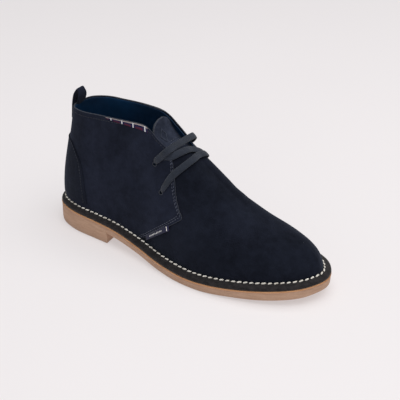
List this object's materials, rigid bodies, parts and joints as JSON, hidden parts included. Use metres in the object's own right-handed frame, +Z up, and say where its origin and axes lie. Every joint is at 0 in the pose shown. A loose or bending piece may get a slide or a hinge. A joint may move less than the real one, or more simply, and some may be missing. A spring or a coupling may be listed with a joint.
{
  "type": "chukka boot",
  "caption": "Ankle-high suede lace-up boot with open collar and throat, welted onto a moulded sole unit with a low heel; right foot.",
  "frame": {"origin": "on the floor under the centre of the bounding box", "axes": "+X from heel to toe, +Y towards the inner side of the foot, +Z up"},
  "size_m": [0.3044, 0.1074, 0.1455],
  "materials": {
    "sole_rubber": "matt moulded tan rubber",
    "welt_leather": "matt navy leather",
    "suede": "napped navy suede",
    "tongue_suede": "napped slate navy suede",
    "lining": "dark teal lining cloth and leather",
    "lace_cotton": "flat woven cotton lace"
  },
  "bodies": {
    "root": {"outsole": "sole_rubber", "welt": "welt_leather", "upper": "suede", "heel_counter": "suede", "tongue": "tongue_suede", "insole": "lining", "lace": "lace_cotton", "pull_loop": "suede"}
  },
  "joints": []
}
